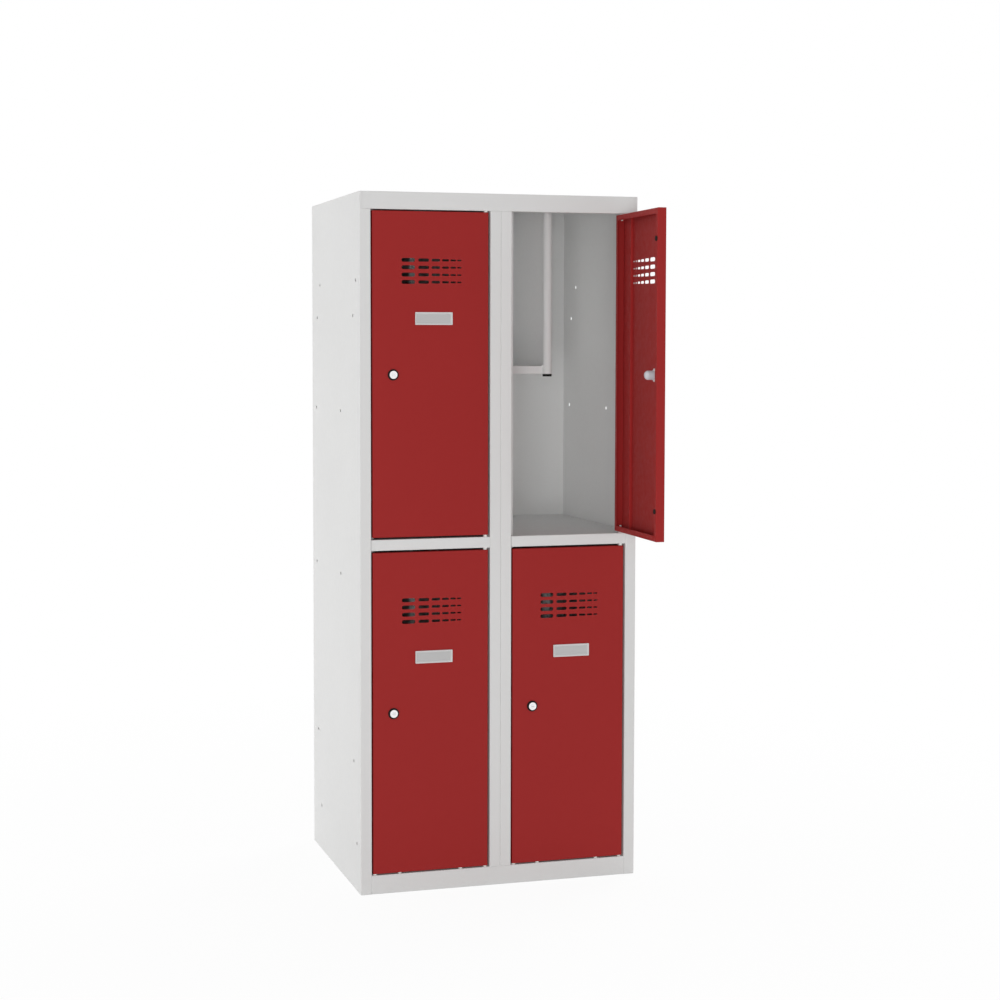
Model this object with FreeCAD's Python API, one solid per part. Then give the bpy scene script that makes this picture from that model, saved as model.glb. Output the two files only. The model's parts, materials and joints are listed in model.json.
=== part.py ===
import FreeCAD, Part
import math
import os

# Metal wardrobe locker: two columns and two tiers of folded sheet steel, with hinged doors and key locks.
# Millimetres. +X is to the right seen from the front, +Y runs to the back, +Z is up.
# The origin is on the floor, at the centre of the cabinet's footprint.

Vector = FreeCAD.Vector

# Cabinet
width = 750.0
depth = 570.0
height = 1800.0
sheet = 0.8
bend_radius = 1.0
joint_gap = 0.2

# Front frame
post_width = 29.0
fascia_height = 44.5
plinth_height = 48.8
rail_height = 28.2
rail_setback = 2.0
rail_hem = 12.0
corner_strip = 7.0
stop_gap = 3.0
stop_width = 12.0

# Folded edges of the panels
edge_fold = 20.0
plinth_return = 20.0
shelf_hem = 15.0

# Bearer under the base
bearer_width = 40.0
bearer_flange = 15.0

# Holes that link the locker to its neighbours, in sets of four: distances from the side's front edge,
# its back edge, its foot and its top
link_hole_diameter = 9.0
link_holes_outer = (44.0, 101.0, 124.0, 223.0)
link_holes_middle = (76.0, 64.0, 334.0, 312.0)
link_holes_inner = (222.0, 51.0, 807.0, 561.0)

# Hat shelf, divider and tube in each compartment
shelf_rise = 439.8
shelf_setback = 170.0
shelf_lip = 21.5
shelf_lip_return = 8.0
divider_fold = 15.0
tube_diameter = 25.0
tube_offset = 3.0
tube_wall = 1.5
cap_height = 6.8
cap_insert = 10.0
cap_edge = 1.2

# Doors
door_depth = 23.0
door_sheet = 0.8
door_lip = 14.5
door_gap_lock = 4.0
door_gap_hinge = 5.5
door_gap_end = 3.6
door_gap_rail = 5.4
open_angle = 88.3

# Stiffener channel inside a door, measured from the door's hinge edge
stiffener_inset = 23.0
stiffener_width = 48.5
stiffener_depth = 6.5

# Vent slots: the first one is beside the lock, and each next one shrinks towards the hinge
vent_rows = 4
vent_columns = 6
vent_inset = 76.5
vent_drop = 123.7
vent_pitch = 18.6
vent_length = 35.4
vent_height = 10.0
vent_spacing = 8.8
vent_shrink = 0.795
vent_height_shrink = 0.82

# Label holder
label_length = 98.8
label_height = 32.2
label_floor = 1.0
label_recess = 1.8
label_border = 1.5
label_slope = 4.5
label_inset = 112.0
label_drop = 256.0
label_corner = 1.5

# Rubber buffers on the door's lock-side lip
buffer_diameter = 12.5
buffer_neck = 4.0
buffer_head_diameter = 8.0
buffer_inner_height = 1.5
buffer_offset = 76.0
buffer_play = 0.3

# Hinge pins and their bushes
pin_diameter = 4.0
pin_head_rim = 2.0
pin_head_height = 2.0
pin_inset = 5.5
pin_setback = 8.2
pin_tip_play = 1.0
bush_wall = 0.7
collar_rim = 2.3
sleeve_length = 14.5
hinge_play = 0.3

# Glides on the plinth, under the lower doors
glide_diameter = 10.0
glide_edge_inset = 6.0
glide_side_inset = 72.0
glide_play = 0.5

# Lock
lock_inset = 54.0
plug_diameter = 9.5
plug_lip_width = 0.75
plug_lip_height = 1.2
plug_end_play = 0.3
barrel_diameter = 23.4
barrel_step = 1.5
barrel_head_height = 3.0
barrel_head_edge = 0.6
barrel_reach = 35.5
barrel_dome = 10.0
rosette_rim = 4.1
rosette_thickness = 2.5
rosette_edge = 1.0
nut_wall = 3.0
nut_thickness = 10.0
key_slot_width = 1.8
key_slot_length = 7.0
key_slot_depth = 8.0

# Fits
run_clear = 0.05
seat_clear = 0.03

# Places that follow from the sizes above
front = -depth / 2
back = depth / 2
inner_back = back - sheet
bend_room = sheet + bend_radius + joint_gap
shelf_back = inner_back - joint_gap
fold_front = inner_back - bend_room
column_width = width / 2
stop_depth = door_depth + stop_gap
rail_return = stop_depth - rail_setback
opening_height = (height - fascia_height - plinth_height - rail_height) / 2
tier_pitch = opening_height + rail_height
rail_top = plinth_height + tier_pitch
rail_bottom = rail_top - rail_height
rail_centre = -column_width / 2
rail_half = column_width / 2 - post_width - joint_gap
stop_back = front + stop_depth + sheet
compartment_left = -column_width + sheet
lock_edge = -column_width + post_width + door_gap_lock
hinge_edge = -post_width - door_gap_hinge
door_bottom = plinth_height + door_gap_end
door_top = plinth_height + opening_height - door_gap_rail
door_pitch = tier_pitch + door_gap_rail - door_gap_end
pin_x = hinge_edge - pin_inset
pin_y = front + pin_setback
pin_head_diameter = pin_diameter + 2 * pin_head_rim
bush_bore = pin_diameter + 2 * seat_clear
bush_diameter = bush_bore + 2 * bush_wall
collar_diameter = bush_diameter + 2 * collar_rim
label_thickness = label_floor + label_recess
lock_x = lock_edge + lock_inset
lock_z = (door_bottom + door_top) / 2
plug_lip_diameter = plug_diameter + 2 * plug_lip_width
barrel_head_diameter = barrel_diameter - 2 * barrel_step
rosette_diameter = barrel_head_diameter + 2 * rosette_rim
nut_across_flats = barrel_diameter + 2 * nut_wall
head_start = front - rosette_thickness - barrel_head_height
barrel_end = front + barrel_reach
bore_end = barrel_end - barrel_dome

columns = {"left": 0.0, "right": column_width}
tiers = {"lower": 0.0, "upper": tier_pitch}
door_tiers = {"lower": 0.0, "upper": door_pitch}
open_door = "upper_right"


# Folded sheet

def corner_arc(before, corner, after, radius):
    """Tangent points and middle point of the arc that rounds one corner of a path."""
    way_in = (corner - before).normalize()
    way_out = (after - corner).normalize()
    turn = way_in.getAngle(way_out)
    reach = radius * math.tan(turn / 2)
    towards_centre = (way_out - way_in).normalize()
    to_middle = radius / math.cos(turn / 2) - radius
    return corner - way_in * reach, corner + towards_centre * to_middle, corner + way_out * reach


def rounded_edges(points, radii):
    """Edges of an open path with its inner corners rounded."""
    edges = []
    start = points[0]
    for before, corner, after, radius in zip(points, points[1:], points[2:], radii):
        arc_start, arc_middle, arc_end = corner_arc(before, corner, after, radius)
        edges.append(Part.makeLine(start, arc_start))
        edges.append(Part.Arc(arc_start, arc_middle, arc_end).toShape())
        start = arc_end
    edges.append(Part.makeLine(start, points[-1]))
    return edges


def folded_face(path, thickness):
    """Section of a folded sheet: path is one face of it, and the sheet lies on the path's left."""
    points = [Vector(u, v, 0) for u, v in path]
    ways = [(b - a).normalize() for a, b in zip(points, points[1:])]
    lefts = [Vector(-way.y, way.x, 0) for way in ways]
    other = [points[0] + lefts[0] * thickness]
    path_radii = []
    other_radii = []
    for corner, left_in, left_out in zip(points[1:], lefts, lefts[1:]):
        other.append(corner + (left_in + left_out) * (thickness / (1 + left_in.dot(left_out))))
        turns_left = left_in.cross(left_out).z > 0
        path_radii.append(bend_radius + thickness if turns_left else bend_radius)
        other_radii.append(bend_radius if turns_left else bend_radius + thickness)
    other.append(points[-1] + lefts[-1] * thickness)
    edges = rounded_edges(points, path_radii) + rounded_edges(other, other_radii)
    edges.append(Part.makeLine(points[0], other[0]))
    edges.append(Part.makeLine(points[-1], other[-1]))
    return Part.Face(Part.Wire(Part.__sortEdges__(edges)))


def fold_upright(path, low, high, thickness=sheet):
    """Sheet folded along upright bends: path is (x, y)."""
    face = folded_face(path, thickness)
    face.translate(Vector(0, 0, low))
    return face.extrude(Vector(0, 0, high - low))


def fold_across(path, low, high, thickness=sheet):
    """Sheet folded along bends that run left to right: path is (y, z)."""
    face = folded_face(path, thickness)
    face.Placement = FreeCAD.Placement(Vector(low, 0, 0), FreeCAD.Rotation(Vector(1, 1, 1), 120))
    return face.extrude(Vector(high - low, 0, 0))


def fold_along(path, low, high, thickness=sheet):
    """Sheet folded along bends that run front to back: path is (x, z)."""
    face = folded_face(path, thickness)
    face.Placement = FreeCAD.Placement(Vector(0, low, 0), FreeCAD.Rotation(Vector(1, 0, 0), 90))
    return face.extrude(Vector(0, high - low, 0))


# Plain solids

def block(x_range, y_range, z_range):
    corner = Vector(x_range[0], y_range[0], z_range[0])
    return Part.makeBox(x_range[1] - x_range[0], y_range[1] - y_range[0], z_range[1] - z_range[0], corner)


def post_round(x, y, z_range, diameter):
    """Upright cylinder."""
    return Part.makeCylinder(diameter / 2, z_range[1] - z_range[0], Vector(x, y, z_range[0]))


def peg_round(x, y_range, z, diameter):
    """Cylinder that runs front to back."""
    start = Vector(x, y_range[0], z)
    return Part.makeCylinder(diameter / 2, y_range[1] - y_range[0], start, Vector(0, 1, 0))


def mirrored(shape):
    return shape.mirror(Vector(0, 0, 0), Vector(1, 0, 0))


def joined(shapes):
    return shapes[0].multiFuse(shapes[1:]).removeSplitter()


# Cabinet panels

def post_path(outer_x):
    """Section of a front post with its return and stop lip, for a wall on a compartment's left."""
    return (
        (outer_x, front),
        (outer_x + post_width, front),
        (outer_x + post_width, front + stop_depth),
        (outer_x + post_width + stop_width, front + stop_depth),
    )


def link_hole_places(from_front, from_back, from_foot, from_top):
    """The two places along the depth and the two heights of a set of link holes."""
    return (front + from_front, back - from_back), (from_foot, height - from_top)


def link_hole_cutters(outer_x):
    cutters = []
    for hole_set in (link_holes_outer, link_holes_middle, link_holes_inner):
        along, upward = link_hole_places(*hole_set)
        for y in along:
            for z in upward:
                mouth = Vector(outer_x - sheet, y, z)
                cutters.append(
                    Part.makeCylinder(link_hole_diameter / 2, 3 * sheet, mouth, Vector(1, 0, 0)))
    return cutters


def side_panel():
    """Left side wall, with its post cut back for the fascia and its stop lip cut back for the base."""
    outer_x = -column_width
    panel = fold_upright(((outer_x, inner_back),) + post_path(outer_x), 0, height)
    lip_end = outer_x + post_width + stop_width + sheet
    fascia_seat = block(
        (outer_x + corner_strip, lip_end), (front - sheet, stop_back + sheet),
        (height - fascia_height, height))
    base_seat = block((outer_x + post_width, lip_end), (front, stop_back + sheet), (0, plinth_height))
    return panel.cut([fascia_seat, base_seat] + link_hole_cutters(outer_x))


def centre_post():
    """Right-hand half of the centre post, with a leg that ends level with its stop lip."""
    return fold_upright(((0, stop_back),) + post_path(0), plinth_height, height - fascia_height)


def partition():
    """Flat wall on the left of the right-hand column, from its half of the centre post to the back."""
    post_top = height - fascia_height
    wall = block((0, sheet), (stop_back, inner_back), (plinth_height, post_top))
    top = block((0, sheet), (stop_back, fold_front), (post_top, height - sheet))
    return joined([wall, top])


def side_wing(inner_x, y_range, top_z):
    """Right-hand strip of a tray that reaches the side wall and turns down along it."""
    wall_x = column_width - sheet
    return fold_along(((wall_x, top_z - edge_fold), (wall_x, top_z), (inner_x, top_z)), *y_range)


def roof_panel():
    fascia_bottom = height - fascia_height
    path = (
        (inner_back, height - edge_fold),
        (inner_back, height),
        (front, height),
        (front, fascia_bottom),
        (front + rail_return, fascia_bottom),
        (front + rail_return, fascia_bottom + rail_hem),
    )
    half = column_width - corner_strip - joint_gap
    wing = side_wing(half, (front + bend_room, shelf_back), height)
    roof = joined([fold_across(path, -half, half), wing, mirrored(wing)])
    return roof.cut(pin_holes(fascia_bottom))


def base_panel():
    path = (
        (inner_back, 0),
        (inner_back, plinth_height),
        (front, plinth_height),
        (front, 0),
        (front + plinth_return, 0),
    )
    half = column_width - post_width - joint_gap
    wing = side_wing(half, (stop_back + joint_gap, shelf_back), plinth_height)
    base = joined([fold_across(path, -half, half), wing, mirrored(wing)])
    return base.cut(pin_holes(plinth_height - sheet))


def base_bearer():
    """Channel under the base that carries the partitions to the floor."""
    half = bearer_width / 2
    under = plinth_height - sheet
    path = (
        (half + bearer_flange, under),
        (half, under),
        (half, sheet),
        (-half, sheet),
        (-half, under),
        (-half - bearer_flange, under),
    )
    return fold_along(path, front + plinth_return + joint_gap, fold_front)


def cross_rail():
    """Left-hand rail between the doors, with the holes for the hinge pins above and below it."""
    path = (
        (front + rail_return, rail_top),
        (front, rail_top),
        (front, rail_bottom),
        (front + rail_return, rail_bottom),
        (front + rail_return, rail_bottom + rail_hem),
    )
    rail = fold_across(path, rail_centre - rail_half, rail_centre + rail_half)
    return rail.cut([pin_hole(0, rail_bottom), pin_hole(0, rail_top - sheet)])


def middle_shelf():
    """Left-hand shelf between the tiers, level with its rail and hemmed along the walls."""
    wall_half = column_width / 2 - sheet
    plate_z = (rail_top - sheet, rail_top)
    hem_z = (rail_top - 2 * sheet, rail_top)
    wing_y = (stop_back + joint_gap, shelf_back)
    tongue = block((-rail_half, rail_half), (front + rail_return, shelf_back), plate_z)
    plate = block((-wall_half, wall_half), wing_y, plate_z)
    hem = block((wall_half - shelf_hem, wall_half), wing_y, hem_z)
    notch_y = (front + stop_depth - bend_radius - joint_gap, stop_back + joint_gap)
    notch_z = (rail_top - 2 * sheet, rail_top + sheet)
    notch = block((rail_half - stop_width, rail_half + sheet), notch_y, notch_z)
    shelf = joined([tongue, plate, hem, mirrored(hem)]).cut([notch, mirrored(notch)])
    return shelf.translated(Vector(rail_centre, 0, 0))


def back_panel():
    """Flat sheet on the rear edges of the side panels."""
    return block((-column_width, column_width), (inner_back, back), (0, height))


# Hat shelf, divider and tube of the lower left compartment

tube_x = -column_width / 2 - tube_offset
tube_y = front + shelf_setback
shelf_top = plinth_height + shelf_rise
divider_right = tube_x + sheet / 2


def tube_seat(low, high):
    return post_round(tube_x, tube_y, (low, high), tube_diameter + 2 * joint_gap)


def hat_shelf():
    path = (
        (shelf_back, shelf_top - edge_fold),
        (shelf_back, shelf_top),
        (tube_y, shelf_top),
        (tube_y, shelf_top - shelf_lip),
        (tube_y + shelf_lip_return, shelf_top - shelf_lip),
    )
    tray = fold_across(path, compartment_left, divider_right)
    fold_y = (tube_y + shelf_lip_return + sheet, shelf_back - 2 * sheet)
    left_fold = block(
        (compartment_left, compartment_left + sheet), fold_y, (shelf_top - edge_fold, shelf_top - sheet / 2))
    right_fold = block(
        (divider_right - sheet, divider_right), fold_y, (shelf_top - shelf_lip, shelf_top - sheet / 2))
    return joined([tray, left_fold, right_fold]).cut(tube_seat(shelf_top - 2 * shelf_lip, shelf_top + sheet))


def divider(ceiling):
    fold_end = divider_right - divider_fold
    path = ((fold_end, shelf_top), (divider_right, shelf_top), (divider_right, ceiling), (fold_end, ceiling))
    wall = fold_along(path, tube_y, shelf_back)
    rear = block(
        (fold_end, divider_right - sheet / 2), (shelf_back - sheet, shelf_back),
        (shelf_top + sheet / 2, ceiling - sheet / 2))
    fold_room = block(
        (fold_end - sheet, divider_right + sheet), (shelf_back - bend_room, shelf_back + sheet),
        (ceiling - edge_fold - joint_gap, ceiling + sheet))
    return joined([wall, rear]).cut([fold_room, tube_seat(shelf_top - sheet, ceiling + sheet)])


def hat_tube(ceiling):
    span = (shelf_top - shelf_lip, ceiling)
    return post_round(tube_x, tube_y, span, tube_diameter).cut(
        post_round(tube_x, tube_y, span, tube_diameter - 2 * tube_wall))


def tube_cap():
    """Black plug in the tube's lower end, with a rounded rim."""
    tube_end = shelf_top - shelf_lip
    rim = post_round(tube_x, tube_y, (tube_end - cap_height, tube_end), tube_diameter)
    lowest = [edge for edge in rim.Edges if edge.BoundBox.ZMax < tube_end - cap_height / 2]
    rim = rim.makeFillet(cap_edge, lowest)
    insert_diameter = tube_diameter - 2 * tube_wall - 2 * seat_clear
    return joined([rim, post_round(tube_x, tube_y, (tube_end, tube_end + cap_insert), insert_diameter)])


# Hinges of the lower left door

def pin_hole(shift_x, low):
    """Hole through one sheet for a hinge pin."""
    span = (low - sheet, low + 2 * sheet)
    return post_round(pin_x + shift_x, pin_y, span, pin_diameter + 2 * seat_clear)


def pin_holes(low):
    return [pin_hole(shift_x, low) for shift_x in columns.values()]


def hinge_ends(tier):
    """Face of the frame and way into the door, at the door's head and foot, with the gap there."""
    head_gap, foot_gap = door_gap_rail, door_gap_end
    if tier == "upper":
        head_gap, foot_gap = foot_gap, head_gap
    return (
        (plinth_height + opening_height, -1, head_gap),
        (plinth_height, 1, foot_gap),
    )


def hinge_pin(face_z, way, gap):
    far = face_z + way * (gap + sleeve_length - pin_tip_play)
    behind = face_z - way * sheet
    shank = post_round(pin_x, pin_y, sorted((behind, far)), pin_diameter)
    head = post_round(pin_x, pin_y, sorted((behind, behind - way * pin_head_height)), pin_head_diameter)
    return joined([shank, head])


def hinge_bush(face_z, way, gap):
    shoulder = face_z + way * (gap - hinge_play)
    far = face_z + way * (gap + sleeve_length)
    collar = post_round(pin_x, pin_y, sorted((face_z, shoulder)), collar_diameter)
    sleeve = post_round(pin_x, pin_y, sorted((shoulder, far)), bush_diameter)
    bore = post_round(pin_x, pin_y, sorted((face_z, far)), bush_bore)
    return joined([collar, sleeve]).cut(bore)


def glides():
    """Nylon buttons on the plinth, under the lower left door."""
    span = (plinth_height, door_bottom - glide_play)
    places = (lock_edge + glide_edge_inset, lock_edge + glide_side_inset, hinge_edge - glide_side_inset)
    return [post_round(x, pin_y, span, glide_diameter) for x in places]


# Pieces of the lower left door, shut

def edges_at(shape, y):
    """Edges of a shape that lie in one upright plane, parallel to the front."""
    return [edge for edge in shape.Edges if abs(edge.BoundBox.YMin - y) + edge.BoundBox.YLength < sheet / 10]


def rounded_box(x_range, y_range, z_range, radius):
    box = block(x_range, y_range, z_range)
    return box.makeFillet(radius, edges_at(box, y_range[0]) + edges_at(box, y_range[1]))


def obround(x_range, z, slot_height):
    """Cutter for one vent slot with round ends."""
    radius = slot_height / 2
    left, right = x_range[0] + radius, x_range[1] - radius
    y = front - door_sheet
    low_left, high_left = Vector(left, y, z - radius), Vector(left, y, z + radius)
    low_right, high_right = Vector(right, y, z - radius), Vector(right, y, z + radius)
    wire = Part.Wire([
        Part.makeLine(low_left, low_right),
        Part.Arc(low_right, Vector(right + radius, y, z), high_right).toShape(),
        Part.makeLine(high_right, high_left),
        Part.Arc(high_left, Vector(left - radius, y, z), low_left).toShape(),
    ])
    return Part.Face(wire).extrude(Vector(0, 3 * door_sheet, 0))


def vent_cutters():
    cutters = []
    start = lock_edge + vent_inset
    for column in range(vent_columns):
        scale = vent_shrink ** column
        slot_height = vent_height * vent_height_shrink ** column
        for row in range(vent_rows):
            z = door_top - vent_drop - row * vent_pitch
            cutters.append(obround((start, start + vent_length * scale), z, slot_height))
        start += (vent_length + vent_spacing) * scale
    return cutters


def label_centre():
    return lock_edge + label_inset + label_length / 2, door_top - label_drop - label_height / 2


def buffer_places():
    x = lock_edge + door_lip / 2
    return [(x, door_top - buffer_offset), (x, door_bottom + buffer_offset)]


def door_panel():
    """Pan with flanges and return lips, its vent slots and its holes."""
    outer = rounded_box(
        (lock_edge, hinge_edge), (front, front + door_depth), (door_bottom, door_top),
        bend_radius + door_sheet)
    hollow = rounded_box(
        (lock_edge + door_sheet, hinge_edge - door_sheet),
        (front + door_sheet, front + door_depth - door_sheet),
        (door_bottom + door_sheet, door_top - door_sheet), bend_radius)
    mouth = block(
        (lock_edge + door_lip, hinge_edge - door_lip),
        (front + door_depth - 2 * door_sheet, front + door_depth + door_sheet),
        (door_bottom + door_lip, door_top - door_lip))
    through_front = (front - door_sheet, front + 2 * door_sheet)
    through_lip = (front + door_depth - 2 * door_sheet, front + door_depth + door_sheet)
    cutters = vent_cutters()
    cutters.append(peg_round(lock_x, through_front, lock_z, barrel_head_diameter + 2 * seat_clear))
    for x, z in buffer_places():
        cutters.append(peg_round(x, through_lip, z, buffer_neck + 2 * seat_clear))
    for edge_z in (door_bottom, door_top):
        span = (edge_z - 2 * door_sheet, edge_z + 2 * door_sheet)
        cutters.append(post_round(pin_x, pin_y, span, bush_diameter + 2 * run_clear))
    return outer.cut([hollow, mouth]).cut(cutters)


def door_stiffener():
    """Channel welded behind the front sheet, its open side against it."""
    right = hinge_edge - stiffener_inset
    left = right - stiffener_width
    near = front + door_sheet
    far = near + stiffener_depth
    path = ((right, near), (right, far), (left, far), (left, near))
    end_room = door_sheet + bend_radius + joint_gap
    span = (door_bottom + end_room, door_top - end_room)
    return fold_upright(path, *span, door_sheet)


def upright_rectangle(centre_x, y, centre_z, half_length, half_height):
    corners = [
        Vector(centre_x + along * half_length, y, centre_z + up * half_height)
        for along, up in ((-1, -1), (1, -1), (1, 1), (-1, 1), (-1, -1))]
    return Part.makePolygon(corners)


def label_holder():
    """Plate dished for a card, with sloping inner edges, stuck to the door."""
    centre_x, centre_z = label_centre()
    face_y = front - label_thickness
    half_length = label_length / 2
    half_height = label_height / 2
    plate = block(
        (centre_x - half_length, centre_x + half_length), (face_y, front),
        (centre_z - half_height, centre_z + half_height))
    plate = plate.makeFillet(label_corner, [edge for edge in plate.Edges if edge.BoundBox.YLength > sheet])
    mouth_margin = label_border - sheet * label_slope / label_recess
    floor_margin = label_border + label_slope
    mouth = upright_rectangle(
        centre_x, face_y - sheet, centre_z, half_length - mouth_margin, half_height - mouth_margin)
    floor = upright_rectangle(
        centre_x, face_y + label_recess, centre_z, half_length - floor_margin, half_height - floor_margin)
    return plate.cut(Part.makeLoft([mouth, floor], True))


def door_buffer(x, z):
    """Rubber stud through the door's lip: a pad behind it, a neck and a retaining head inside."""
    lip_back = front + door_depth
    lip_front = lip_back - door_sheet
    pad = peg_round(x, (lip_back, front + stop_depth - buffer_play), z, buffer_diameter)
    neck = peg_round(x, (lip_front, lip_back), z, buffer_neck)
    head = peg_round(x, (lip_front - buffer_inner_height, lip_front), z, buffer_head_diameter)
    return joined([pad, neck, head])


# Lock of the lower left door

def front_edges(shape):
    low = shape.BoundBox.YMin
    return [edge for edge in shape.Edges if edge.BoundBox.YMax < low + sheet / 10]


def lock_rosette():
    ring = peg_round(lock_x, (front - rosette_thickness, front), lock_z, rosette_diameter)
    ring = ring.makeFillet(rosette_edge, front_edges(ring))
    bore_span = (front - 2 * rosette_thickness, front + sheet)
    return ring.cut(peg_round(lock_x, bore_span, lock_z, barrel_head_diameter + 2 * seat_clear))


def lock_barrel():
    """Closed barrel with a narrower head in front, a domed end and a blind bore for the plug."""
    head_end = front + door_sheet
    head = peg_round(lock_x, (head_start, head_end), lock_z, barrel_head_diameter)
    head = head.makeFillet(barrel_head_edge, front_edges(head))
    body = peg_round(lock_x, (head_end, barrel_end), lock_z, barrel_diameter)
    rear_edges = [edge for edge in body.Edges if edge.BoundBox.YMin > barrel_end - sheet / 10]
    body = body.makeFillet(barrel_dome, rear_edges)
    bore = peg_round(lock_x, (head_start, bore_end), lock_z, plug_diameter + 2 * run_clear)
    seat_y = (head_start, head_start + plug_lip_height + run_clear)
    lip_seat = peg_round(lock_x, seat_y, lock_z, plug_lip_diameter + 2 * run_clear)
    return joined([head, body]).cut([bore, lip_seat])


def lock_nut():
    """Six-sided nut with one corner at the top."""
    radius = nut_across_flats / 2 / math.cos(math.pi / 6)
    y = front + door_sheet
    corners = []
    for side in range(7):
        angle = (side + 0.5) * math.pi / 3
        corners.append(Vector(lock_x + radius * math.cos(angle), y, lock_z + radius * math.sin(angle)))
    nut = Part.Face(Part.makePolygon(corners)).extrude(Vector(0, nut_thickness, 0))
    return nut.cut(peg_round(lock_x, (y, y + nut_thickness), lock_z, barrel_diameter + 2 * seat_clear))


def lock_plug():
    """Turning core with its key slot."""
    lip = peg_round(lock_x, (head_start, head_start + plug_lip_height), lock_z, plug_lip_diameter)
    core = peg_round(lock_x, (head_start + plug_lip_height, bore_end - plug_end_play), lock_z, plug_diameter)
    key_slot = block(
        (lock_x - key_slot_length / 2, lock_x + key_slot_length / 2),
        (head_start, head_start + key_slot_depth),
        (lock_z - key_slot_width / 2, lock_z + key_slot_width / 2))
    return joined([lip, core]).cut(key_slot)


# Assembly

def save(name, shape):
    shape.exportStep(os.path.join("parts", name + ".step"))


def save_group(name, solids):
    save(name, Part.makeCompound(solids))


def in_place(shape, column, tier):
    """Copy of a lower left piece in another compartment."""
    return shape.translated(Vector(columns[column], 0, tiers[tier]))


def with_door(shape, column, tier):
    """Copy of a lower left door piece on another door, swung open on the door that stands open."""
    copy = shape.translated(Vector(columns[column], 0, door_tiers[tier]))
    if tier + "_" + column == open_door:
        copy.rotate(Vector(pin_x + columns[column], pin_y, 0), Vector(0, 0, 1), open_angle)
    return copy


def save_cabinet():
    side = side_panel()
    save("side_panel_left", side)
    save("side_panel_right", mirrored(side))
    for name, right in (("centre_post", centre_post()), ("partition", partition())):
        save(name + "_right", right)
        save(name + "_left", mirrored(right))
    save("roof_panel", roof_panel())
    save("base_panel", base_panel())
    save("base_bearer", base_bearer())
    save("back_panel", back_panel())
    for name, left in (("middle_shelf", middle_shelf()), ("cross_rail", cross_rail())):
        for column, shift_x in columns.items():
            save(name + "_" + column, left.translated(Vector(shift_x, 0, 0)))


def save_compartments():
    ceilings = {"lower": plinth_height + tier_pitch - sheet, "upper": height - sheet - tier_pitch}
    tubes, caps, pins, bushes, buttons = [], [], [], [], []
    for tier, ceiling in ceilings.items():
        for column in columns:
            where = tier + "_" + column
            save("hat_shelf_" + where, in_place(hat_shelf(), column, tier))
            save("divider_" + where, in_place(divider(ceiling), column, tier))
            tubes.append(in_place(hat_tube(ceiling), column, tier))
            caps.append(in_place(tube_cap(), column, tier))
            for end in hinge_ends(tier):
                pins.append(in_place(hinge_pin(*end), column, tier))
                bushes.append(in_place(hinge_bush(*end), column, tier))
    for column in columns:
        buttons += [in_place(button, column, "lower") for button in glides()]
    save_group("hat_tubes", tubes)
    save_group("tube_caps", caps)
    save_group("hinge_pins", pins)
    save_group("hinge_bushes", bushes)
    save_group("door_glides", buttons)


def save_doors():
    pieces = {
        "door_panel": door_panel(),
        "door_stiffener": door_stiffener(),
        "label_holder": label_holder(),
        "door_buffers": Part.makeCompound([door_buffer(x, z) for x, z in buffer_places()]),
        "lock_rosette": lock_rosette(),
        "lock_barrel": lock_barrel(),
        "lock_nut": lock_nut(),
        "lock_plug": lock_plug(),
    }
    for name, shape in pieces.items():
        for tier in tiers:
            for column in columns:
                save(name + "_" + tier + "_" + column, with_door(shape, column, tier))


def main():
    os.makedirs("parts", exist_ok=True)
    save_cabinet()
    save_compartments()
    save_doors()


main()
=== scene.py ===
import json
import math

import bpy
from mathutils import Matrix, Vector

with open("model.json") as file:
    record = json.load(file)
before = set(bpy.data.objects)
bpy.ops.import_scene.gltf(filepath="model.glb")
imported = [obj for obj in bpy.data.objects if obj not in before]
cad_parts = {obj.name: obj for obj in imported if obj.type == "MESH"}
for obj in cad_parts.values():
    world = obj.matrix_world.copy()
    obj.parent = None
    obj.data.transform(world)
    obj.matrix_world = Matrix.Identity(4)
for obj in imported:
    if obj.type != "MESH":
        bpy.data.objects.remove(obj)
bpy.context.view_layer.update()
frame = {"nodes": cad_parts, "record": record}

nodes = frame["nodes"]
record = frame["record"]
scene = bpy.context.scene

# Linear colours, fitted to the photo under the lamps below
GREY = (0.7, 0.7, 0.695)
RED = (0.32, 0.0225, 0.0215)
CHROME = (0.93, 0.93, 0.94)
CAST = (0.6, 0.6, 0.64)
ZINC = (0.9, 0.9, 0.91)
CARD = (0.5, 0.5, 0.5)
# Lighter grey of the label plate's rim, a painted highlight for the light that the rim's slopes catch
LABEL_RIM_PAINTED_HIGHLIGHT = (0.63, 0.63, 0.63)
BLACK = (0.006, 0.005, 0.005)
RUBBER = (0.012, 0.011, 0.01)
NYLON = (0.86, 0.86, 0.84)
WHITE = (1.0, 1.0, 1.0, 1.0)
FLOOR_GREY = (0.9, 0.9, 0.9, 1.0)

# Heights of relief, in metres
GREY_SHEET_WAVE = 0.0004
RED_SHEET_WAVE = 0.0003
ORANGE_PEEL = 0.00004
PAINT_GRAIN = 0.00001
LOCK_MARKS = 0.00001
PLATING = 0.00002
BRUSHING = 0.00002
MOULD_GRAIN = 0.00005

# Most values of a noise texture lie between these two.
NOISE_LOW = 0.3
NOISE_HIGH = 0.7

# Depths behind a door's front face, in metres, between which a surface changes from one finish to the other;
# on the label plate the front one is a lighter rim, a painted highlight for the light its slopes catch
BARREL_HEAD_END = 0.0
BARREL_BODY_START = 0.0005
LABEL_RIM_HIGHLIGHT_END = -0.0026
LABEL_DISH_START = -0.0012

# The door that stands open at rest, and one of the three shut ones, with the axis that each lock lies along
OPEN_DOOR = "upper_right"
SHUT_DOOR = "lower_left"
OPEN_LOCK_AXIS = "X"
SHUT_LOCK_AXIS = "Y"

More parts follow.
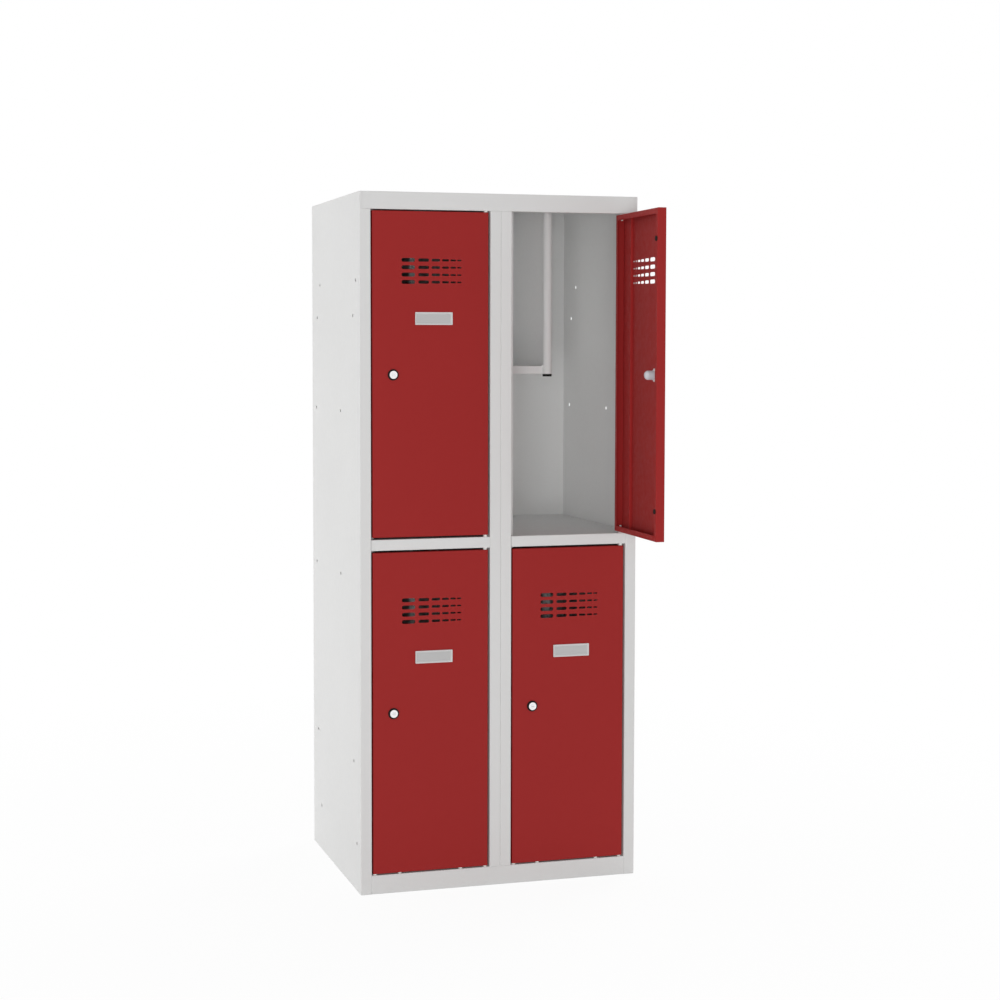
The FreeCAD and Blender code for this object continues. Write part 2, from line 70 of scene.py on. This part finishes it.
# The floor lies just under the feet. Between two distances from the middle, in metres, it fades to white.
FLOOR_SIZE = 40.0
FLOOR_CELLS = 8
FLOOR_DROP = 0.0005
FADE_START = 0.6
FADE_END = 2.6
NEAR_WHITE = 0.94
FAR_WHITE = 1.0

# Strength of the white world as a light, and as the backdrop that is seen
WORLD_LIGHT = 0.5
WORLD_SEEN = 1.0

# Camera matched to the photo: millimetres for the lens, shares of the frame for the shift, metres and degrees
SENSOR_WIDTH = 36.0
FOCAL_LENGTH = 68.0
SHIFT_X = 0.06
SHIFT_Y = -0.045
FAR_CLIP = 100.0
CAMERA_PLACE = (-1.4895, -4.9374, 1.415)
CAMERA_TILT = 86.637
CAMERA_TURN = -15.902


# Materials

class Surface:
    """A Principled material, with plain values on its sockets, and short ways to add nodes over them."""

    def __init__(self, name, color, roughness, metallic=0.0, specular=0.5):
        self.material = bpy.data.materials.new(name)
        self.material.use_nodes = True
        self.tree = self.material.node_tree
        self.shader = self.tree.nodes["Principled BSDF"]
        self.color = color
        self.set("Base Color", (*color, 1.0))
        self.set("Roughness", roughness)
        self.set("Metallic", metallic)
        self.set("Specular IOR Level", specular)
        self.relief = None

    def set(self, socket, value):
        self.shader.inputs[socket].default_value = value

    def feed(self, socket, output):
        self.link(output, self.shader.inputs[socket])

    def add(self, kind, **values):
        node = self.tree.nodes.new(kind)
        for key, value in values.items():
            setattr(node, key, value)
        return node

    def link(self, output, socket):
        self.tree.links.new(output, socket)

    def place(self, space="Object", scale=(1.0, 1.0, 1.0), offset=(0.0, 0.0, 0.0)):
        """Vector of a surface point, stretched by scale and moved by offset."""
        coordinate = self.add("ShaderNodeTexCoord")
        mapping = self.add("ShaderNodeMapping")
        mapping.inputs["Scale"].default_value = scale
        mapping.inputs["Location"].default_value = offset
        self.link(coordinate.outputs[space], mapping.inputs["Vector"])
        return mapping.outputs["Vector"]

    def behind(self, plane, start, end):
        """0 to 1 over a stretch of depth, in metres behind the front face of a door."""
        inward, face = plane
        coordinate = self.add("ShaderNodeTexCoord")
        along = self.add("ShaderNodeVectorMath", operation="DOT_PRODUCT")
        along.inputs[1].default_value = inward
        self.link(coordinate.outputs["Object"], along.inputs[0])
        return self.spread(along.outputs["Value"], 0.0, 1.0, face + start, face + end)

    def noise(self, vector, scale, detail=3.0, rough=0.55):
        texture = self.add("ShaderNodeTexNoise")
        texture.inputs["Scale"].default_value = scale
        texture.inputs["Detail"].default_value = detail
        texture.inputs["Roughness"].default_value = rough
        self.link(vector, texture.inputs["Vector"])
        return texture.outputs["Fac"]

    def spread(self, value, low, high, start=NOISE_LOW, end=NOISE_HIGH):
        """Turn a value from start to end into a number from low to high."""
        spread = self.add("ShaderNodeMapRange")
        spread.inputs["From Min"].default_value = start
        spread.inputs["From Max"].default_value = end
        spread.inputs["To Min"].default_value = low
        spread.inputs["To Max"].default_value = high
        self.link(value, spread.inputs["Value"])
        return spread.outputs["Result"]

    def tones(self, value, dark, light, color=None):
        """A colour, the surface's own if none is given, that varies between dark and light times itself."""
        ramp = self.add("ShaderNodeValToRGB")
        stops = ramp.color_ramp.elements
        for stop, position, factor in zip(stops, (NOISE_LOW, NOISE_HIGH), (dark, light)):
            stop.position = position
            stop.color = (*(min(c * factor, 1.0) for c in color or self.color), 1.0)
        self.link(value, ramp.inputs["Fac"])
        return ramp.outputs["Color"]

    def tint(self, value, dark, light):
        self.feed("Base Color", self.tones(value, dark, light))

    def vary_roughness(self, value, low, high):
        self.feed("Roughness", self.spread(value, low, high))

    def mix(self, kind, share, first, second):
        """Mix two outputs of one kind, FLOAT or RGBA."""
        mix = self.add("ShaderNodeMix", data_type=kind)
        sockets = [socket for socket in mix.inputs if socket.enabled]
        for output, socket in zip((share, first, second), sockets):
            self.link(output, socket)
        return next(socket for socket in mix.outputs if socket.enabled)

    def bump(self, value, distance):
        """Add a layer of relief, distance metres high, over the layers before it."""
        bump = self.add("ShaderNodeBump")
        bump.inputs["Distance"].default_value = distance
        bump.inputs["Strength"].default_value = 1.0
        self.link(value, bump.inputs["Height"])
        if self.relief is not None:
            self.link(self.relief, bump.inputs["Normal"])
        self.relief = bump.outputs["Normal"]
        self.feed("Normal", self.relief)


def powder_coat(name, color, specular, wave):
    """Satin powder coat: slow colour drift, orange peel and the slight wave of thin sheet."""
    coat = Surface(name, color, 0.48, specular=specular)
    place = coat.place()
    coat.tint(coat.noise(place, scale=2.6, detail=4.0), dark=0.985, light=1.015)
    coat.vary_roughness(coat.noise(place, scale=70.0, detail=2.0), low=0.42, high=0.55)
    coat.bump(coat.noise(place, scale=3.4, detail=1.0), wave)
    coat.bump(coat.noise(place, scale=420.0, detail=2.0), ORANGE_PEEL)
    coat.bump(coat.noise(place, scale=1500.0, detail=1.0), PAINT_GRAIN)
    return coat.material


def turning_marks(metal, axis):
    """Fine rings round the lock's axis."""
    centre = metal.place("Generated", offset=(-0.5, -0.5, -0.5))
    rings = metal.add("ShaderNodeTexWave", wave_type="RINGS", rings_direction=axis)
    rings.inputs["Scale"].default_value = 22.0
    rings.inputs["Distortion"].default_value = 1.2
    rings.inputs["Detail"].default_value = 2.0
    rings.inputs["Detail Scale"].default_value = 6.0
    metal.link(centre, rings.inputs["Vector"])
    return rings.outputs["Fac"]


def lock_plug(name, axis):
    """Polished core of a lock."""
    metal = Surface(name, CHROME, 0.16, metallic=1.0)
    rings = turning_marks(metal, axis)
    metal.vary_roughness(rings, low=0.15, high=0.26)
    metal.bump(rings, LOCK_MARKS)
    metal.tint(metal.noise(metal.place(), scale=90.0), dark=0.9, light=0.97)
    return metal.material


def lock_barrel(name, axis, plane):
    """Polished head in front of the door and a matt cast body behind it."""
    metal = Surface(name, CHROME, 0.16, metallic=1.0)
    place = metal.place()
    body = metal.behind(plane, BARREL_HEAD_END, BARREL_BODY_START)
    rings = turning_marks(metal, axis)
    grain = metal.noise(place, scale=900.0)
    polished_color = metal.tones(metal.noise(place, scale=90.0), dark=0.95, light=1.0)
    cast_color = metal.tones(metal.noise(place, scale=160.0), dark=0.95, light=1.04, color=CAST)
    polished_roughness = metal.spread(rings, low=0.13, high=0.22)
    cast_roughness = metal.spread(grain, low=0.4, high=0.52)
    metal.feed("Base Color", metal.mix("RGBA", body, polished_color, cast_color))
    metal.feed("Metallic", metal.spread(body, low=1.0, high=0.0, start=0.0, end=1.0))
    metal.feed("Roughness", metal.mix("FLOAT", body, polished_roughness, cast_roughness))
    metal.bump(metal.mix("FLOAT", body, rings, grain), LOCK_MARKS)
    return metal.material


def zinc():
    """Zinc plate: faint crystals and a satin finish."""
    metal = Surface("zinc_plate", ZINC, 0.36, metallic=0.3)
    place = metal.place()
    crystal = metal.add("ShaderNodeTexVoronoi")
    crystal.inputs["Scale"].default_value = 420.0
    metal.link(place, crystal.inputs["Vector"])
    metal.tint(crystal.outputs["Distance"], dark=0.9, light=1.05)
    metal.vary_roughness(metal.noise(place, scale=260.0), low=0.28, high=0.44)
    metal.bump(metal.noise(place, scale=900.0), PLATING)
    return metal.material


def label_plate(name, plane):
    """Grey plate, brushed along its length, with a lighter rim round the dish: a painted highlight for the
    light that the rim's slopes catch.
    """
    plate = Surface(name, CARD, 0.42, specular=0.3)
    dish = plate.behind(plane, LABEL_RIM_HIGHLIGHT_END, LABEL_DISH_START)
    along_length = plate.place(scale=(14.0, 14.0, 1800.0))
    strokes = plate.noise(along_length, scale=1.0, detail=4.0, rough=0.7)
    # The rim is painted lighter than the dish, a painted highlight for the light its slopes catch
    rim_painted_highlight = plate.tones(strokes, dark=0.97, light=1.03, color=LABEL_RIM_PAINTED_HIGHLIGHT)
    card_color = plate.tones(strokes, dark=0.96, light=1.04)
    plate.feed("Base Color", plate.mix("RGBA", dish, rim_painted_highlight, card_color))
    plate.vary_roughness(strokes, low=0.36, high=0.5)
    plate.bump(strokes, BRUSHING)
    return plate.material


def moulded(name, color, roughness, specular, grain):
    """Plastic or rubber with a fine moulded grain."""
    plastic = Surface(name, color, roughness, specular=specular)
    place = plastic.place()
    plastic.tint(plastic.noise(place, scale=120.0), dark=0.9, light=1.1)
    swing = 0.07
    plastic.vary_roughness(plastic.noise(place, scale=300.0), low=roughness - swing, high=roughness + swing)
    plastic.bump(plastic.noise(place, scale=grain), MOULD_GRAIN)
    return plastic.material


def door_plane(door):
    """Direction into a door and how far along it the door's front face lies, from the turn of its lock."""
    turn = next(joint for joint in record["behaviour"]["joints"] if joint["name"] == "lock_turn_" + door)
    inward = Vector(turn["axis"])
    return inward, inward.dot(Vector(turn["pos_m"]))


materials = {
    "grey_paint": powder_coat("grey_powder_coat", GREY, specular=0.25, wave=GREY_SHEET_WAVE),
    "red_paint": powder_coat("red_powder_coat", RED, specular=0.12, wave=RED_SHEET_WAVE),
    "zinc_steel": zinc(),
    "black_plastic": moulded("black_plastic", BLACK, roughness=0.5, specular=0.15, grain=700.0),
    "white_nylon": moulded("white_nylon", NYLON, roughness=0.45, specular=0.35, grain=900.0),
    "black_rubber": moulded("black_rubber", RUBBER, roughness=0.75, specular=0.2, grain=1100.0),
}

# Finishes that depend on which way a door faces
door_materials = {}
for state, door, axis in (("shut", SHUT_DOOR, SHUT_LOCK_AXIS), ("open", OPEN_DOOR, OPEN_LOCK_AXIS)):
    plane = door_plane(door)
    door_materials["lock_plug", state] = lock_plug("lock_plug_" + state, axis)
    door_materials["lock_barrel", state] = lock_barrel("lock_barrel_" + state, axis, plane)
    door_materials["label_holder", state] = label_plate("label_plate_" + state, plane)

for subpart in record["subparts"]:
    name = subpart["node"]
    state = "open" if name.endswith(OPEN_DOOR) else "shut"
    kind = "_".join(name.split("_")[:2])
    material = door_materials.get((kind, state)) or materials[subpart["material_slot"]]
    mesh = nodes[name].data
    mesh.materials.clear()
    mesh.materials.append(material)


# Floor, light and camera

def seen_ray(tree):
    """1 for rays that show a thing to the camera, in a mirror or through glass, and 0 for the others."""
    path = tree.nodes.new("ShaderNodeLightPath")
    seen = path.outputs["Is Camera Ray"]
    for kind in ("Is Glossy Ray", "Is Transmission Ray"):
        either = tree.nodes.new("ShaderNodeMath")
        either.operation = "MAXIMUM"
        tree.links.new(seen, either.inputs[0])
        tree.links.new(path.outputs[kind], either.inputs[1])
        seen = either.outputs["Value"]
    return seen


def floor_material():
    """Nearly white where it is seen, with a matt share near the object that keeps its shadow."""
    material = bpy.data.materials.new("studio_floor")
    material.use_nodes = True
    tree = material.node_tree
    tree.nodes.clear()
    output = tree.nodes.new("ShaderNodeOutputMaterial")
    matt = tree.nodes.new("ShaderNodeBsdfDiffuse")
    matt.inputs["Color"].default_value = FLOOR_GREY
    glow = tree.nodes.new("ShaderNodeEmission")
    glow.inputs["Color"].default_value = WHITE
    place = tree.nodes.new("ShaderNodeTexCoord")
    away = tree.nodes.new("ShaderNodeVectorMath")
    away.operation = "LENGTH"
    tree.links.new(place.outputs["Object"], away.inputs[0])
    fade = tree.nodes.new("ShaderNodeMapRange")
    fade.inputs["From Min"].default_value = FADE_START
    fade.inputs["From Max"].default_value = FADE_END
    fade.inputs["To Min"].default_value = NEAR_WHITE
    fade.inputs["To Max"].default_value = FAR_WHITE
    tree.links.new(away.outputs["Value"], fade.inputs["Value"])
    share = tree.nodes.new("ShaderNodeMath")
    share.operation = "MULTIPLY"
    tree.links.new(seen_ray(tree), share.inputs[0])
    tree.links.new(fade.outputs["Result"], share.inputs[1])
    mix = tree.nodes.new("ShaderNodeMixShader")
    tree.links.new(share.outputs["Value"], mix.inputs["Fac"])
    tree.links.new(matt.outputs["BSDF"], mix.inputs[1])
    tree.links.new(glow.outputs["Emission"], mix.inputs[2])
    tree.links.new(mix.outputs["Shader"], output.inputs["Surface"])
    return material


bpy.ops.mesh.primitive_grid_add(
    x_subdivisions=FLOOR_CELLS, y_subdivisions=FLOOR_CELLS, size=FLOOR_SIZE, location=(0.0, 0.0, -FLOOR_DROP))
floor = bpy.context.object
floor.name = "studio_floor"
floor.data.materials.append(floor_material())

world = bpy.data.worlds.new("studio")
scene.world = world
world.use_nodes = True
tree = world.node_tree
background = tree.nodes["Background"]
background.inputs["Color"].default_value = WHITE
level = tree.nodes.new("ShaderNodeMapRange")
level.inputs["To Min"].default_value = WORLD_LIGHT
level.inputs["To Max"].default_value = WORLD_SEEN
tree.links.new(seen_ray(tree), level.inputs["Value"])
tree.links.new(level.outputs["Result"], background.inputs["Strength"])


def soft_lamp(name, place, target, size, power, only=None):
    """Flat lamp of some width and height, not seen itself, for the whole scene or for only one node."""
    lamp = bpy.data.lights.new(name, "AREA")
    lamp.shape = "RECTANGLE"
    lamp.size, lamp.size_y = size
    lamp.energy = power
    holder = bpy.data.objects.new(name, lamp)
    holder.location = place
    holder.rotation_euler = (Vector(target) - Vector(place)).to_track_quat("-Z", "Y").to_euler()
    holder.visible_glossy = False
    holder.visible_camera = False
    scene.collection.objects.link(holder)
    if only:
        lit = bpy.data.collections.new(name)
        lit.objects.link(nodes[only])
        holder.light_linking.receiver_collection = lit


soft_lamp("front", place=(-2.1, -5.8, 1.1), target=(0.0, 0.0, 0.8), size=(2.6, 1.8), power=125.0)
soft_lamp("side", place=(-4.3, 1.6, 0.85), target=(0.0, 0.0, 0.85), size=(2.6, 1.6), power=71.0)
soft_lamp("back", place=(3.2, 2.6, 4.2), target=(0.0, 0.0, 1.0), size=(2.4, 2.4), power=115.0)

# Fills from the front on two hidden faces of the open compartment, which the photo shows evenly lit.
# They light nothing else, and a closed door shuts them out.
soft_lamp("fill_wall", place=(0.285, -1.6, 1.4), target=(0.0, 0.05, 1.4), size=(0.25, 0.9), power=112.0,
          only="partition_right")
soft_lamp("fill_divider", place=(0.34, -1.1, 1.58), target=(0.19, 0.1, 1.58), size=(0.06, 0.4), power=46.0,
          only="divider_upper_right")

lens = bpy.data.cameras.new("photo")
lens.sensor_width = SENSOR_WIDTH
lens.lens = FOCAL_LENGTH
lens.shift_x = SHIFT_X
lens.shift_y = SHIFT_Y
lens.clip_end = FAR_CLIP
camera = bpy.data.objects.new("photo", lens)
camera.location = CAMERA_PLACE
camera.rotation_euler = (math.radians(CAMERA_TILT), 0.0, math.radians(CAMERA_TURN))
scene.collection.objects.link(camera)
scene.camera = camera

scene.view_settings.view_transform = "Standard"
